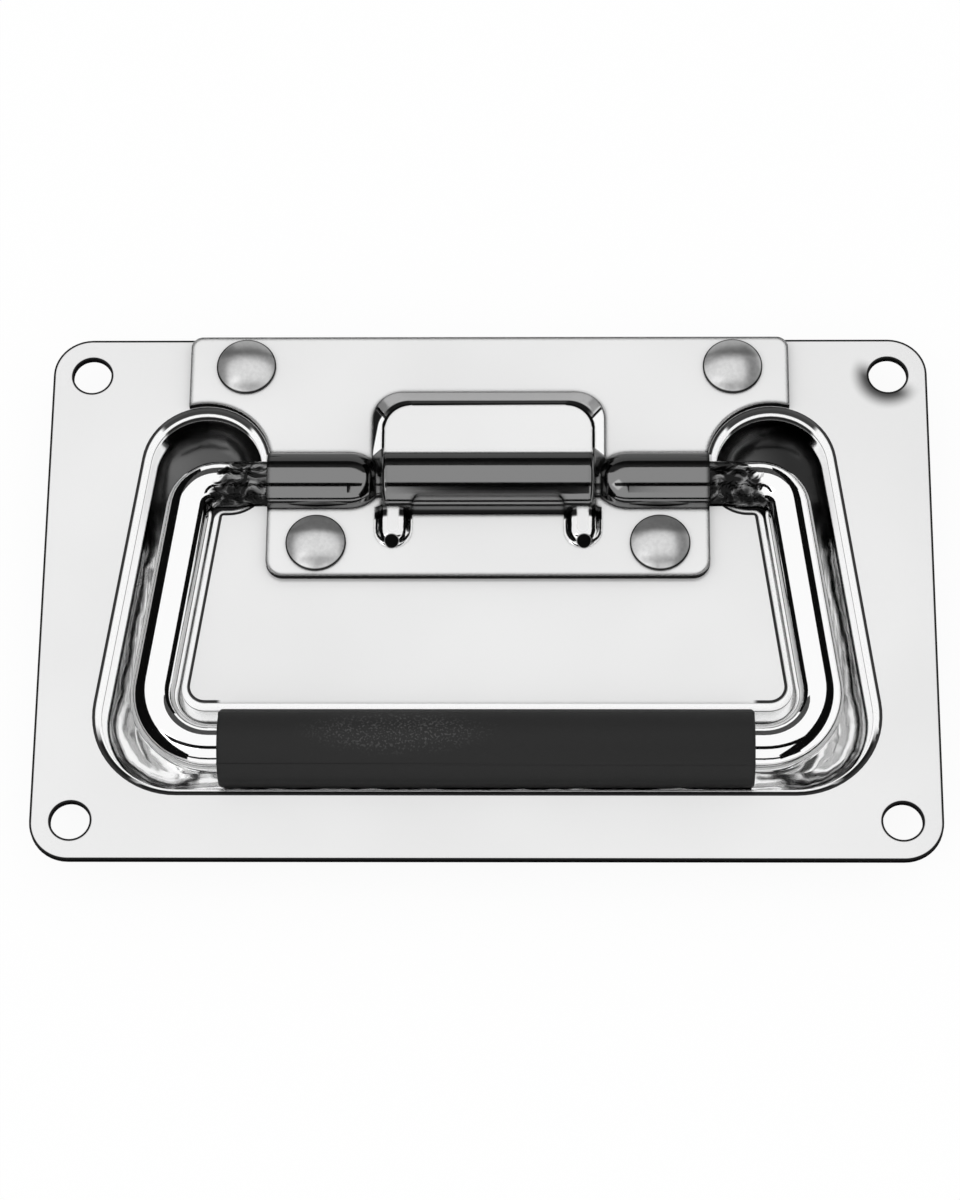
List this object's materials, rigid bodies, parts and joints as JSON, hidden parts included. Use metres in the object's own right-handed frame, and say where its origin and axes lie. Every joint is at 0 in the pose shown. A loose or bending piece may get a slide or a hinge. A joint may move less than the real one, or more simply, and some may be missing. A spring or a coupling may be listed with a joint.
{
  "type": "flush hatch handle",
  "caption": "Recessed pull handle: pressed plate with a U-shaped groove, hinged rod handle with a rubber grip, riveted hinge cover and return springs.",
  "frame": {"origin": "middle of the four screw holes, on the back face of the plate's flange, where it lies on the panel", "axes": "+X along the plate's long side, +Y towards the hinge, +Z out of the panel"},
  "size_m": [0.15, 0.095, 0.0145],
  "materials": {
    "polished_sheet": "polished stainless sheet",
    "polished_rod": "polished stainless rod",
    "grip_rubber": "fine matt grain",
    "rivet_steel": "satin",
    "spring_wire": "drawn wire"
  },
  "bodies": {
    "base": {"base_plate": "polished_sheet", "hinge_cover": "polished_sheet", "rivets": "rivet_steel", "torsion_spring_right": "spring_wire", "torsion_spring_left": "spring_wire"},
    "handle": {"bail": "polished_rod", "grip_sleeve": "grip_rubber"}
  },
  "joints": [
    {"name": "handle_pivot", "type": "hinge", "parent": "base", "child": "handle", "pos_m": [0, 0.0202, 0.00085], "axis": [-1, 0, 0], "range_deg": [0, 90], "stiffness_Nm_per_rad": 0.42, "springref_deg": -34.38, "deforming": ["torsion_spring_right", "torsion_spring_left"]}
  ]
}
